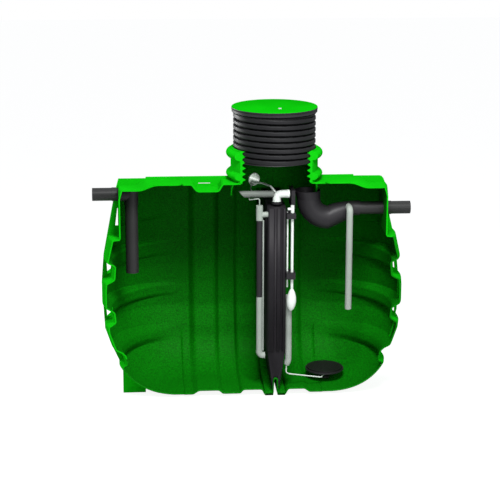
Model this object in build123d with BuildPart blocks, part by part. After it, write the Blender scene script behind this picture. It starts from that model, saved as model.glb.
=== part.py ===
from build123d import *
import math
import os

# Tank hull, in millimetres
WALL = 12
END_X = 600
FLOOR_Z = 20
FLOOR_HALF = 150
BILGE_R = 469
SIDE = ((612, 410), (670, 585), (693, 810), (693, 955), (672, 1220), (632, 1400), (575, 1757), (553, 1836))
EAVE_HALF = 406
RIDGE_HALF = 307
ROOF_Z = 1884
ROOF_FALL = (578, 146)
HOOP_DEPTH = 60
HOOP_LIFT = 30
CUT_Y = -214

# Ledges pressed into the rounded ends: lower edge, lower step, upper step, upper edge
BANDS = ((266, 305, 398, 431), (640, 685, 770, 808), (1027, 1062, 1175, 1207))
BAND_DEPTH = 66
BAND_SHIFT = 80
BAND_REACH = 40
SHOULDER = (586, 1432)
PAD_X = 1134
PAD_Z = 1412

# Module joint, blades and foot
JOINT_X = 190
JOINT_LIFT = 125
BLADE_X = ((109, 162), (223, 272))
BLADE_HALF = 360
BLADE_TOP = 90
FOOT_X = (-1125, -930)
FOOT_TOP = 226
FOOT_HALF = 55

# Mid-plane web and the holes through it
WEB = 20
RIDGE_TOP = 1900
LEFT_HOLES = (
    ((-1236, 1173), (-1194, 1159), (-1235, 1109)),
    ((-1248, 781), (-1193, 753), (-1233, 718)),
    ((-1139, 1549), (-1147, 1549), (-1153, 1489), (-1147, 1489)),
    ((-1150, 383), (-1138, 383), (-1096, 309), (-1108, 309)),
)
RIGHT_HOLES = (
    ((1214, 1158), (1236, 1158), (1240, 1064), (1216, 1064)),
    ((1228, 760), (1248, 760), (1246, 642), (1226, 642)),
)
RIDGE_SLOT = (-410, 1843, 110, 14)

# Neck, riser and lid
NECK_X = 185
NECK_BORE_R = 372
NECK_R = 419
NECK_TOP = 2193
NECK_SKIRT = 200
NECK_BEAD = 36
NECK_BEADS = (1970, 2135)
THREAD_PITCH = 49
NECK_CREST_R = 349
RUN_GAP = 0.5
RISER_R = NECK_CREST_R - RUN_GAP
RISER_THREAD = 20
RISER_WALL = 9
RISER_BOTTOM = 2045
RISER_TOP = 2445
RING_R = 357
RING_BAND = 32
LID_R = 363
LID_H = 22
LID_TOP = 2499

# Pipes
PIPE_R = 55
PIPE_WALL = 4
SEAT = 0.3
END_PIPE_X = 1357
SEAL = 3
SEAL_END_X = 1193
INLET_Z = 1757
OUTLET_Z = 1608
TEE_X = -1029
TEE_HALF = 90
DROP_BOTTOM = 1072

# Trap
MOUTH_X = 468.5
MOUTH_Z = 1772
MOUTH_R = 113
TRAP_R = 100
TRAP_WALL = 5
BEND_X = 650
BEND_Z = 1699
BEND_R = 168
RISE = ((795, 1587, 80), (870, 1608, 63.5))
SOCKET_END = 50

# Vent
VENT_X = 828
VENT_Y = -135
VENT_R = 31.5
VENT_WALL = 3
VENT_BOTTOM = 705
VENT_BEND = 40

# Partition
POST_X = (121, 272)
POST_TOP = 1684
POST_WAIST = 400
TIP_HALF = 22
POST_Y = -206
FLUTE = 12
FLUTES = ((121, 176), (190, 229), (243, 272))

# Airlifts
LIFT_Y = -175
LEFT_X = 48
LIFT_R = 25
LIFT_WALL = 2.5
LEFT_TOP = 1553
LEFT_CHANGE = 882
LEFT_BOTTOM = 400
LEFT_TEE = (1544, 1680)
LEFT_TEE_R = 29
LEFT_BRANCH_Z = 1602
TUBE_R = 7
RIGHT_TOP = 1118
RIGHT_BOTTOM = 310
SOCKET_BOTTOM = 270
CLAMP = (1057, 1112)
CLAMP_WEB = 4
HIGH_CLAMP = (1583, 1625)

# Float
FLOAT_R = 37
FLOAT = (770, 974)
FLOAT_TUBE_R = 11.5
FLOAT_TEE = (1629, 1692)
FLOAT_TEE_R = 15
THIN_R = 6.5

# Discharge
ELBOW_X = 198
ELBOW_Y = -120
ELBOW_R = 33
ELBOW_WALL = 3
ELBOW_Z = 1767
ELBOW_BEND = 48
ELBOW_END = 319
COLLAR_R = 45
COLLAR_H = 20
SPOUT_R = 28
SPOUT_TIP = -93
SPOUT_SLANT = 30
BRACKET_X = (319, 351)
BRACKET_Y = (-160, 60)
BRACKET_Z = (1646, 1800)

# Diffuser
DISC_X = 656
DISC_Y = 148
DISC_R = 170
DISC_TOP = 137
DISC_RIM = 25
STEM_R = 30
DISC_FOOT_R = 50
DISC_FOOT_TOP = 55
HOSE_R = 9

# Duct through the neck's back wall, turned to the left of the tank's middle
DUCT_TURN = 25.3
DUCT_Z = 1804.5
DUCT_REACH = (380, 520)
DUCT_SEAL_END = 430
WIDE_HOSE_R = 8.5
WIDE_HOSE_SIDE = 12
WIDE_HOSE_Z = 1774
THIN_HOSE_R = 5
THIN_HOSE_SIDE = -4
THIN_HOSE_Z = 1761

TANK_Y = (LID_R - SIDE[2][0]) / 2


def level(z):
    """Horizontal plane at a height, its centre on the tank's middle plane."""
    return Plane((0, TANK_Y, z), x_dir=(1, 0, 0), z_dir=(0, 0, 1))


def section(y):
    """Lengthwise vertical plane at a distance behind the tank's middle plane."""
    return Plane((0, TANK_Y + y, 0), x_dir=(1, 0, 0), z_dir=(0, -1, 0))


def station(x):
    """Vertical plane across the tank at a place along its length."""
    return Plane((x, TANK_Y, 0), x_dir=(0, 1, 0), z_dir=(1, 0, 0))


def write(name, piece):
    """Label a finished piece and write it."""
    piece.part.label = name
    export_step(piece.part, f"parts/{name}.step")


def envelope(z):
    """Half width of the tank's ribs at a height."""
    if z <= SIDE[0][1]:
        centre_z = FLOOR_Z + BILGE_R
        return FLOOR_HALF + math.sqrt(BILGE_R**2 - (centre_z - z) ** 2)
    for (r_low, z_low), (r_high, z_high) in zip(SIDE, SIDE[1:]):
        if z <= z_high:
            return r_low + (r_high - r_low) * (z - z_low) / (z_high - z_low)
    return SIDE[-1][0]


def above_roof(sunk):
    """Wedge above the roof, which falls towards the back from the tank's middle plane."""
    run, drop = ROOF_FALL
    roof = ROOF_Z - sunk
    with BuildSketch(mode=Mode.PRIVATE) as face:
        with BuildLine():
            Polyline((0, roof), (2 * run, roof - 2 * drop), (2 * run, 2 * ROOF_Z), (0, 2 * ROOF_Z), close=True)
        make_face()
    return face.sketch


def hoop_face(inset, lift):
    """Section across the tank, its sides and roof moved in and its floor moved up."""
    bilge_r, bilge_z = SIDE[0]
    side = [(r - inset, z - (inset if z == SIDE[-1][1] else 0)) for r, z in SIDE]
    eave_z = side[-1][1]
    with BuildSketch(mode=Mode.PRIVATE) as face:
        with BuildLine():
            Line((0, FLOOR_Z + lift), (FLOOR_HALF, FLOOR_Z + lift))
            TangentArc((FLOOR_HALF, FLOOR_Z + lift), (bilge_r - inset, bilge_z), tangent=(1, 0))
            Polyline(*side, (EAVE_HALF, eave_z), (RIDGE_HALF, ROOF_Z - inset), (0, ROOF_Z - inset))
            mirror(about=Plane.YZ)
        make_face()
        add(above_roof(inset), mode=Mode.SUBTRACT)
    return face.sketch


def end_face(skin):
    """Profile turned about a vertical axis for a rounded end, at one side of its wall."""
    side = [(r - skin, z) for r, z in (*SIDE[:6], SHOULDER, *SIDE[6:])]
    eave_z = SIDE[-1][1] - skin
    floor = FLOOR_Z + skin
    with BuildSketch(mode=Mode.PRIVATE) as face:
        with BuildLine():
            Line((0, floor), (FLOOR_HALF, floor))
            TangentArc((FLOOR_HALF, floor), side[0], tangent=(1, 0))
            Polyline(
                *side[:-1], (side[-1][0], eave_z), (EAVE_HALF, eave_z), (RIDGE_HALF, ROOF_Z - skin),
                (0, ROOF_Z - skin),
            )
            mirror(about=Plane.YZ)
        make_face()
    return face.sketch


def band_edge(inner, outer, skin):
    """Heights of a groove's slanted edge at its bottom and at its far side, sunk by a skin."""
    way = 1 if outer > inner else -1
    run = abs(outer - inner)
    flare = (BAND_DEPTH + BAND_REACH) / BAND_DEPTH
    at_bottom = inner + way * skin * math.tan(math.atan2(BAND_DEPTH, run) / 2)
    at_side = inner + way * (run * flare + skin * math.hypot(BAND_DEPTH, run) / BAND_DEPTH)
    return at_bottom, at_side


def band_face(band, skin):
    """Groove of one ledge, turned about an axis set back so that the ledge runs out at the end's root."""
    low, inner_low, inner_high, high = band
    low_bottom, low_side = band_edge(inner_low, low, skin)
    high_bottom, high_side = band_edge(inner_high, high, skin)
    sunk = BAND_SHIFT - BAND_DEPTH - skin
    clear = BAND_SHIFT + BAND_REACH
    with BuildSketch(mode=Mode.PRIVATE) as face:
        with BuildLine():
            Polyline(
                (envelope(inner_low) + sunk, low_bottom),
                (envelope(inner_high) + sunk, high_bottom),
                (envelope(inner_high) + clear, high_side),
                (envelope(inner_low) + clear, low_side),
                close=True,
            )
        make_face()
    return face.sketch


def hoop_solid(stations, skin):
    """Solid inside one side of the hull's wall, lofted through sections across it."""
    with BuildPart() as hoop:
        for x, inset, lift in stations:
            with BuildSketch(station(x)):
                add(hoop_face(inset + skin, lift + skin))
        loft(ruled=True)
    return hoop.part


with BuildPart() as front:
    with BuildSketch(section(CUT_Y)):
        Rectangle(6 * END_X, 2 * NECK_TOP)
    extrude(amount=2 * END_X)
cut_away = front.part


def end_solid(side, skin):
    """Rounded end, turned about its axis and cut flat by the pipe's pad."""
    with BuildPart() as end:
        with BuildSketch(station(side * END_X)):
            Rectangle(2 * END_X, 2 * ROOF_Z, align=(Align.MIN, Align.CENTER))
            add(end_face(skin), mode=Mode.INTERSECT)
        revolve(axis=Axis((side * END_X, TANK_Y, 0), (0, 0, -side)), revolution_arc=180)
        with BuildSketch(level(PAD_Z - skin)):
            with Locations((side * (PAD_X - skin + HOOP_DEPTH), 0)):
                Rectangle(2 * HOOP_DEPTH, 2 * END_X)
        extrude(amount=ROOF_Z, mode=Mode.SUBTRACT)
        for band in BANDS:
            with BuildSketch(station(side * (END_X - BAND_SHIFT))):
                add(band_face(band, skin))
            revolve(
                axis=Axis((side * (END_X - BAND_SHIFT), TANK_Y, 0), (0, 0, -side)), revolution_arc=180,
                mode=Mode.SUBTRACT,
            )
        with BuildSketch(station(side * END_X)):
            add(above_roof(skin))
        extrude(amount=side * 2 * END_X, mode=Mode.SUBTRACT)
        add(cut_away, mode=Mode.SUBTRACT)
    return end.part


def plate(points, holes=()):
    """Upright plate in the tank's middle plane, with its holes."""
    with BuildPart() as web:
        with BuildSketch(section(0)):
            with BuildLine():
                Polyline(*points, close=True)
            make_face()
            for corners in holes:
                with BuildLine():
                    Polyline(*corners, close=True)
                make_face(mode=Mode.SUBTRACT)
        extrude(amount=WEB / 2, both=True)
    return web.part


def rod(plane, radius, length):
    """Plain cylinder standing on a plane, at the plane's origin."""
    with BuildPart() as bar:
        with BuildSketch(plane):
            Circle(radius)
        extrude(amount=length)
    return bar.part


def along(x, y, z, direction):
    """Plane at a point of the tank's own frame, facing a direction."""
    side = (0, 1, 0) if abs(direction[1]) < 0.9 else (1, 0, 0)
    return Plane((x, TANK_Y + y, z), x_dir=side, z_dir=direction)


def tube(plane, radius, wall, length):
    """Straight pipe standing on a plane."""
    with BuildPart() as pipe:
        with BuildSketch(plane):
            Circle(radius)
            Circle(radius - wall, mode=Mode.SUBTRACT)
        extrude(amount=length)
    return pipe.part


def seal(plane, length):
    """Rubber seal round a pipe where it passes a wall."""
    return tube(plane, PIPE_R + SEAL, SEAL + PIPE_WALL / 2, length)


def bent(points, radii, radius, wall):
    """Pipe along straight runs joined by arcs."""
    with BuildPart() as pipe:
        with BuildLine(level(0)) as route:
            FilletPolyline(*points, radius=radii)
        start = route.wires()[0]
        with BuildSketch(Plane(start @ 0, z_dir=start % 0)):
            Circle(radius)
            if wall:
                Circle(radius - wall, mode=Mode.SUBTRACT)
        sweep(path=start)
    return pipe.part


RIB = (0, 0)
RECESS = (HOOP_DEPTH, HOOP_LIFT)
JOINT = (HOOP_DEPTH, JOINT_LIFT)
LEFT_BAY = ((-END_X, *RIB), (-521, *RIB), (-474, *RECESS), (-301, *RECESS), (-266, *RIB), (-200, *RIB))
CENTRE_BAY = (
    (-200, *RIB), (-132, *RIB), (-108, *RECESS), (80, *RECESS),
    (109, *RIB), (162, *RIB), (172, *JOINT), (JOINT_X, *JOINT),
)
RIGHT_BAY = (
    (JOINT_X, *JOINT), (207, *JOINT), (223, *RIB), (272, *RIB),
    (306, *RECESS), (459, *RECESS), (507, *RIB), (END_X, *RIB),
)

os.makedirs("parts", exist_ok=True)

left_end_outer = end_solid(-1, 0)
left_end_inner = end_solid(-1, WALL)
right_end_outer = end_solid(1, 0)
right_end_inner = end_solid(1, WALL)
left_outer = hoop_solid(LEFT_BAY, 0)
left_inner = hoop_solid(LEFT_BAY, WALL)
centre_outer = hoop_solid(CENTRE_BAY, 0)
centre_inner = hoop_solid(CENTRE_BAY, WALL)
right_outer = hoop_solid(RIGHT_BAY, 0)
right_inner = hoop_solid(RIGHT_BAY, WALL)
neck_bore = rod(along(NECK_X, 0, PAD_Z, (0, 0, 1)), NECK_BORE_R, ROOF_Z)
neck_outside = rod(along(NECK_X, 0, ROOF_Z - HOOP_DEPTH, (0, 0, 1)), NECK_R, ROOF_Z)


# Left end, with its web, its pad and the inlet's hole
left_web = plate((
    (-END_X, RIDGE_TOP), (-901, RIDGE_TOP), (-905, 1888), (-1133, 1888), (-1168, 1758), (-1270, 1236),
    (-1291, 988), (-1270, 579), (-1209, 410), (-1127, FOOT_TOP), (-1060, 300), (-700, 1000), (-END_X, 1800),
), LEFT_HOLES)
with BuildPart() as left_end_shell:
    add(left_end_outer)
    add(left_web)
    add(left_end_inner, mode=Mode.SUBTRACT)
    add(rod(along(-1000, 0, INLET_Z, (-1, 0, 0)), PIPE_R + SEAL + SEAT, END_X), mode=Mode.SUBTRACT)
write("left_end_shell", left_end_shell)

with BuildPart() as left_foot:
    with BuildSketch(section(0)):
        with Locations((FOOT_X[0], 0)):
            Rectangle(FOOT_X[1] - FOOT_X[0], FOOT_TOP, align=(Align.MIN, Align.MIN))
    extrude(amount=FOOT_HALF, both=True)
    add(left_end_outer, mode=Mode.SUBTRACT)
    add(left_web, mode=Mode.SUBTRACT)
write("left_foot", left_foot)


def bay_shell(outer, inner, web=None):
    """Hooped segment of the hull, with its ridge web and the neck's opening."""
    with BuildPart() as ridge:
        if web:
            add(plate(web))
            add(neck_outside, mode=Mode.SUBTRACT)
    with BuildPart() as shell:
        add(outer)
        if web:
            add(ridge.part)
        add(inner, mode=Mode.SUBTRACT)
        add(neck_bore, mode=Mode.SUBTRACT)
        add(cut_away, mode=Mode.SUBTRACT)
    return shell.part


def blade(x_range, hull_inner):
    """Flat-bottomed foot under the hull's hoop."""
    with BuildPart() as foot:
        with BuildSketch(section(CUT_Y)):
            with Locations((x_range[0], 0)):
                Rectangle(x_range[1] - x_range[0], BLADE_TOP, align=(Align.MIN, Align.MIN))
        extrude(amount=CUT_Y - BLADE_HALF)
        add(hull_inner, mode=Mode.SUBTRACT)
    return foot.part


left_ridge = ((-END_X, RIDGE_TOP), (-END_X, 1800), (-200, 1800), (-200, RIDGE_TOP))
with BuildPart() as left_bay_shell:
    add(bay_shell(left_outer, left_inner, left_ridge))
    with BuildSketch(section(0)):
        with Locations(RIDGE_SLOT[:2]):
            SlotOverall(*RIDGE_SLOT[2:])
    extrude(amount=WEB, both=True, mode=Mode.SUBTRACT)
write("left_bay_shell", left_bay_shell)

with BuildPart() as centre_bay_shell:
    add(bay_shell(centre_outer, centre_inner))
    add(blade(BLADE_X[0], centre_inner))
write("centre_bay_shell", centre_bay_shell)

with BuildPart() as right_bay_shell:
    add(bay_shell(right_outer, right_inner))
    add(blade(BLADE_X[1], right_inner))
write("right_bay_shell", right_bay_shell)

# Right end, its web set back between the ribs
right_web = plate((
    (END_X, RIDGE_TOP), (860, RIDGE_TOP), (864, 1888), (1110, 1885), (1156, 1669), (1181, 1528),
    (1219, 1371), (1248, 1200), (1270, 980), (1262, 700), (1200, 430), (1060, 300), (700, 1000), (END_X, 1800),
), RIGHT_HOLES)
with BuildPart() as right_web_clear:
    add(right_web)
    add(neck_outside, mode=Mode.SUBTRACT)
with BuildPart() as right_end_shell:
    add(right_end_outer)
    add(right_web_clear.part)
    add(right_end_inner, mode=Mode.SUBTRACT)
    add(rod(along(1000, 0, OUTLET_Z, (1, 0, 0)), PIPE_R + SEAL + SEAT, END_X), mode=Mode.SUBTRACT)
    add(neck_bore, mode=Mode.SUBTRACT)
write("right_end_shell", right_end_shell)


def neck_profile():
    """Wall of the neck with its two beads outside."""
    half = NECK_BEAD / 2
    low, high = NECK_BEADS
    foot_z = ROOF_Z - NECK_SKIRT
    with BuildSketch(mode=Mode.PRIVATE) as face:
        with BuildLine():
            Polyline((NECK_BORE_R, foot_z), (NECK_R, foot_z), (NECK_R, low - half))
            ThreePointArc((NECK_R, low - half), (NECK_R + NECK_BEAD, low), (NECK_R, low + half))
            Line((NECK_R, low + half), (NECK_R, high - half))
            ThreePointArc((NECK_R, high - half), (NECK_R + NECK_BEAD, high), (NECK_R, high + half))
            Polyline((NECK_R, high + half), (NECK_R, NECK_TOP), (NECK_BORE_R, NECK_TOP), (NECK_BORE_R, foot_z))
        make_face()
    return face.sketch


def ring_profile(root, crest, z):
    """One turn of thread, its crest half as wide as its foot."""
    half = THREAD_PITCH / 2
    with BuildSketch(mode=Mode.PRIVATE) as face:
        with BuildLine():
            Polyline(
                (root, z - half), (crest, z - half / 2), (crest, z + half / 2), (root, z + half),
                close=True,
            )
        make_face()
    return face.sketch


DUCT_WAY = (-math.sin(math.radians(DUCT_TURN)), math.cos(math.radians(DUCT_TURN)), 0)


def in_duct(reach, aside, z):
    """Point along the duct, at a distance from the neck's axis and off to the duct's right."""
    way_x, way_y, _ = DUCT_WAY
    return (NECK_X + reach * way_x + aside * way_y, reach * way_y - aside * way_x, z)


neck_plane = Plane((NECK_X, TANK_Y, 0), x_dir=(1, 0, 0), z_dir=(0, -1, 0))
neck_axis = Axis(neck_plane.origin, (0, 0, 1))
NECK_TURNS = int((NECK_TOP - ROOF_Z) / THREAD_PITCH)
with BuildPart() as neck_collar:
    with BuildSketch(neck_plane):
        add(neck_profile())
        for turn in range(NECK_TURNS):
            add(ring_profile(NECK_BORE_R, NECK_CREST_R, NECK_TOP - (turn + 0.5) * THREAD_PITCH))
    revolve(axis=neck_axis)
    for hull in (left_outer, centre_outer, right_outer, right_end_outer):
        add(hull, mode=Mode.SUBTRACT)
    add(cut_away, mode=Mode.SUBTRACT)
    add(rod(along(NECK_X, 0, DUCT_Z, DUCT_WAY), PIPE_R + SEAL + SEAT, END_X), mode=Mode.SUBTRACT)
write("neck_collar", neck_collar)

# Riser with its thread, and the ring and lid on top
RISER_ROOT_R = RISER_R - RISER_THREAD
RISER_TURNS = int((RISER_TOP - RISER_BOTTOM) / THREAD_PITCH)
with BuildPart() as riser:
    with BuildSketch(neck_plane):
        with Locations((RISER_ROOT_R - RISER_WALL, RISER_BOTTOM)):
            Rectangle(RISER_WALL, RISER_TOP - RISER_BOTTOM, align=(Align.MIN, Align.MIN))
        for turn in range(RISER_TURNS):
            add(ring_profile(RISER_ROOT_R, RISER_R, RISER_BOTTOM + (turn + 0.5) * THREAD_PITCH))
    revolve(axis=neck_axis)
write("riser", riser)

LID_UNDER = LID_TOP - LID_H
with BuildPart() as riser_ring:
    with BuildSketch(neck_plane):
        with Locations((RISER_ROOT_R - RISER_WALL, RISER_TOP)):
            Rectangle(RISER_THREAD, LID_UNDER - RISER_TOP, align=(Align.MIN, Align.MIN))
        with Locations((RISER_ROOT_R, LID_UNDER)):
            Rectangle(RING_R - RISER_ROOT_R, RING_BAND - WALL, align=(Align.MIN, Align.MAX))
    revolve(axis=neck_axis)
write("riser_ring", riser_ring)

with BuildPart() as lid:
    with BuildSketch(level(LID_UNDER)):
        with Locations((NECK_X, 0)):
            Circle(LID_R)
    extrude(amount=LID_H)
    fillet(lid.faces().sort_by(Axis.Z)[-1].edges(), radius=8)
write("lid", lid)

with BuildPart() as lid_lock:
    with BuildSketch(level(LID_TOP)):
        with Locations((216, -166)):
            Circle(14)
            RegularPolygon(6, 6, mode=Mode.SUBTRACT)
    extrude(amount=6)
write("lid_lock", lid_lock)

# Partition between the chambers, standing on the fold at the module joint
chamber = centre_inner + right_inner
with BuildPart() as partition_wall:
    with BuildSketch(section(POST_Y)):
        with BuildLine():
            Polyline(
                (POST_X[0], POST_TOP), (POST_X[0], POST_WAIST), (JOINT_X - TIP_HALF, 0),
                (JOINT_X + TIP_HALF, 0), (POST_X[1], POST_WAIST), (POST_X[1], POST_TOP),
                close=True,
            )
        make_face()
    extrude(amount=-2 * END_X)
    add(chamber, mode=Mode.INTERSECT)
write("partition_wall", partition_wall)

with BuildPart() as partition_flutes:
    for low, high in FLUTES:
        with BuildSketch(level(POST_WAIST)):
            with Locations(((low + high) / 2, POST_Y)):
                SlotOverall(high - low, 2 * FLUTE)
        extrude(amount=POST_TOP - POST_WAIST)
    split(bisect_by=section(POST_Y), keep=Keep.TOP)
write("partition_flutes", partition_flutes)

# Inlet pipe, tee and drop pipe
TEE_R = PIPE_R + WALL / 2
with BuildPart() as inlet_tee:
    add(rod(along(TEE_X, 0, INLET_Z - TEE_HALF, (0, 0, 1)), TEE_R, TEE_HALF + TEE_R))
    add(rod(along(TEE_X, 0, INLET_Z, (-1, 0, 0)), TEE_R, TEE_HALF))
    add(rod(along(TEE_X, 0, INLET_Z - TEE_HALF, (0, 0, 1)), PIPE_R + SEAT, TEE_HALF + TEE_R), mode=Mode.SUBTRACT)
    add(rod(along(TEE_X, 0, INLET_Z, (-1, 0, 0)), PIPE_R + SEAT, TEE_HALF), mode=Mode.SUBTRACT)
write("inlet_tee", inlet_tee)

with BuildPart() as inlet_pipe:
    add(tube(along(-END_PIPE_X, 0, INLET_Z, (1, 0, 0)), PIPE_R, PIPE_WALL, END_PIPE_X + TEE_X - TEE_R))
    add(seal(along(-SEAL_END_X, 0, INLET_Z, (1, 0, 0)), SEAL_END_X - PAD_X + WALL))
write("inlet_pipe", inlet_pipe)

with BuildPart() as inlet_drop_pipe:
    add(tube(along(TEE_X, 0, DROP_BOTTOM, (0, 0, 1)), PIPE_R, PIPE_WALL, INLET_Z - PIPE_R - WALL - DROP_BOTTOM))
write("inlet_drop_pipe", inlet_drop_pipe)


# Trap: mouth, bend and reducer, then the outlet pipe
def trap_mouth(skin):
    """Mouth, cone and bend of the trap, at one side of its wall."""
    bend_x = BEND_X - BEND_R
    with BuildPart() as mouth:
        with BuildSketch(level(MOUTH_Z)):
            with Locations((MOUTH_X, 0)):
                Circle(MOUTH_R - skin)
        with BuildSketch(level(BEND_Z)):
            with Locations((bend_x, 0)):
                Circle(TRAP_R - skin)
        loft()
        with BuildSketch(level(BEND_Z)):
            with Locations((bend_x, 0)):
                Circle(TRAP_R - skin)
        revolve(axis=Axis((BEND_X, TANK_Y, BEND_Z), (0, -1, 0)), revolution_arc=90)
    return mouth.part


def trap_rise(skin):
    """Rising, narrowing run behind the bend, at one side of its wall."""
    (x_a, z_a, r_a), (x_b, z_b, r_b) = RISE
    with BuildPart() as rise:
        with BuildSketch(along(BEND_X, 0, BEND_Z - BEND_R, (1, 0, 0))):
            Circle(TRAP_R - skin)
        with BuildSketch(along(x_a, 0, z_a, (x_b - BEND_X, 0, z_b - BEND_Z + BEND_R))):
            Circle(r_a - skin)
        with BuildSketch(along(x_b, 0, z_b, (1, 0, 0))):
            Circle(r_b - skin)
        loft()
    return rise.part


with BuildPart() as trap_bend:
    add(trap_mouth(0))
    add(trap_mouth(TRAP_WALL), mode=Mode.SUBTRACT)
write("trap_bend", trap_bend)

OUTLET_START, _, SOCKET_END_R = RISE[1]
trap_outside = trap_rise(0)
with BuildPart() as trap_reducer:
    add(trap_outside)
    add(trap_rise(TRAP_WALL), mode=Mode.SUBTRACT)
    add(tube(along(OUTLET_START, 0, OUTLET_Z, (1, 0, 0)), SOCKET_END_R, SOCKET_END_R - PIPE_R - SEAT, SOCKET_END))
write("trap_reducer", trap_reducer)

with BuildPart() as outlet_pipe:
    add(tube(along(OUTLET_START, 0, OUTLET_Z, (1, 0, 0)), PIPE_R, PIPE_WALL, END_PIPE_X - OUTLET_START))
    add(seal(along(PAD_X - WALL, 0, OUTLET_Z, (1, 0, 0)), SEAL_END_X - PAD_X + WALL))
write("outlet_pipe", outlet_pipe)

with BuildPart() as trap_bracket:
    with BuildSketch(level(BRACKET_Z[0])):
        with Locations((BRACKET_X[0], BRACKET_Y[0])):
            Rectangle(BRACKET_X[1] - BRACKET_X[0], BRACKET_Y[1] - BRACKET_Y[0], align=(Align.MIN, Align.MIN))
    extrude(amount=BRACKET_Z[1] - BRACKET_Z[0])
write("trap_bracket", trap_bracket)

# Vent pipe, its elbow let into the reducer
VENT_JOINT = OUTLET_Z - 2 * VENT_BEND
with BuildPart() as vent_pipe:
    add(tube(along(VENT_X, VENT_Y, VENT_BOTTOM, (0, 0, 1)), VENT_R, VENT_WALL, VENT_JOINT - VENT_BOTTOM))
write("vent_pipe", vent_pipe)

with BuildPart() as vent_elbow:
    add(bent(
        ((VENT_X, VENT_Y, VENT_JOINT), (VENT_X, VENT_Y, OUTLET_Z), (VENT_X, 0, OUTLET_Z)),
        VENT_BEND, VENT_R, VENT_WALL,
    ))
    add(trap_outside, mode=Mode.SUBTRACT)
write("vent_elbow", vent_elbow)

# Left airlift beside the partition
with BuildPart() as airlift_left_upper:
    add(tube(along(LEFT_X, LIFT_Y, LEFT_CHANGE, (0, 0, 1)), LIFT_R, LIFT_WALL, LEFT_TOP - LEFT_CHANGE))
write("airlift_left_upper", airlift_left_upper)

with BuildPart() as airlift_left_lower:
    add(tube(along(LEFT_X, LIFT_Y, LEFT_BOTTOM, (0, 0, 1)), LIFT_R, LIFT_WALL, LEFT_CHANGE - LEFT_BOTTOM))
write("airlift_left_lower", airlift_left_lower)

with BuildPart() as airlift_left_foot:
    add(bent(
        ((LEFT_X, LIFT_Y, LEFT_BOTTOM), (LEFT_X, LIFT_Y, LEFT_BOTTOM - 42), (LEFT_X + 50, LIFT_Y, LEFT_BOTTOM - 42)),
        36, LIFT_R + LIFT_WALL, 2 * LIFT_WALL,
    ))
write("airlift_left_foot", airlift_left_foot)

with BuildPart() as airlift_left_tee:
    add(rod(along(LEFT_X, LIFT_Y, LEFT_TOP, (0, 0, 1)), LEFT_TEE_R, LEFT_TEE[1] - LEFT_TOP))
    add(rod(along(LEFT_X, LIFT_Y, LEFT_BRANCH_Z, (1, 0, 0)), LEFT_TEE_R * 0.8, POST_X[0] - LEFT_X))
write("airlift_left_tee", airlift_left_tee)

with BuildPart() as left_air_tube:
    tube_x = LEFT_X + LIFT_R + TUBE_R + SEAT
    add(rod(along(tube_x, LIFT_Y, LEFT_BOTTOM, (0, 0, 1)), TUBE_R, LEFT_TOP - LEFT_BOTTOM))
write("left_air_tube", left_air_tube)

# Right airlift beside the partition, with its clamps and float
RIGHT_X = POST_X[1] + CLAMP_WEB + LIFT_R
with BuildPart() as airlift_right_pipe:
    add(tube(along(RIGHT_X, LIFT_Y, RIGHT_BOTTOM, (0, 0, 1)), LIFT_R, LIFT_WALL, RIGHT_TOP - RIGHT_BOTTOM))
write("airlift_right_pipe", airlift_right_pipe)

with BuildPart() as airlift_right_socket:
    with BuildSketch(level(RIGHT_BOTTOM)):
        with Locations((RIGHT_X, LIFT_Y)):
            Circle(LIFT_R)
    with BuildSketch(level(SOCKET_BOTTOM)):
        with Locations((RIGHT_X, LIFT_Y)):
            Circle(LIFT_R / 2)
    loft()
write("airlift_right_socket", airlift_right_socket)

FLOAT_Y = LIFT_Y - LIFT_R - FLOAT_R - SEAT
FLOAT_X = RIGHT_X + 20
with BuildPart() as float_bulb:
    with BuildSketch(Plane((FLOAT_X, TANK_Y + FLOAT_Y, 0), x_dir=(1, 0, 0), z_dir=(0, -1, 0))):
        with BuildLine():
            Line((0, FLOAT[1]), (0, FLOAT[0]))
            Spline((0, FLOAT[0]), (FLOAT_R, FLOAT[0] + 2 * FLOAT_R), (FLOAT_TUBE_R, FLOAT[1]), tangents=((1, 0), (0, 1)))
            Line((FLOAT_TUBE_R, FLOAT[1]), (0, FLOAT[1]))
        make_face()
    revolve(axis=Axis((FLOAT_X, TANK_Y + FLOAT_Y, 0), (0, 0, 1)))
write("float_bulb", float_bulb)

with BuildPart() as float_tube:
    add(rod(along(FLOAT_X, FLOAT_Y, FLOAT[1], (0, 0, 1)), FLOAT_TUBE_R, FLOAT_TEE[0] - FLOAT[1]))
write("float_tube", float_tube)

with BuildPart() as float_tee:
    add(rod(along(FLOAT_X, FLOAT_Y, FLOAT_TEE[0], (0, 0, 1)), FLOAT_TEE_R, FLOAT_TEE[1] - FLOAT_TEE[0]))
    add(rod(along(FLOAT_X, FLOAT_Y, (FLOAT_TEE[0] + FLOAT_TEE[1]) / 2, (-1, 0, 0)), FLOAT_TUBE_R, 40))
write("float_tee", float_tee)

THIN_X = POST_X[1] + WALL
THIN_Y = LIFT_Y - LIFT_R - THIN_R - SEAT
with BuildPart() as thin_tube:
    add(rod(along(THIN_X, THIN_Y, FLOAT[1], (0, 0, 1)), THIN_R, FLOAT_TEE[0] - FLOAT[1]))
write("thin_tube", thin_tube)


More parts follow.
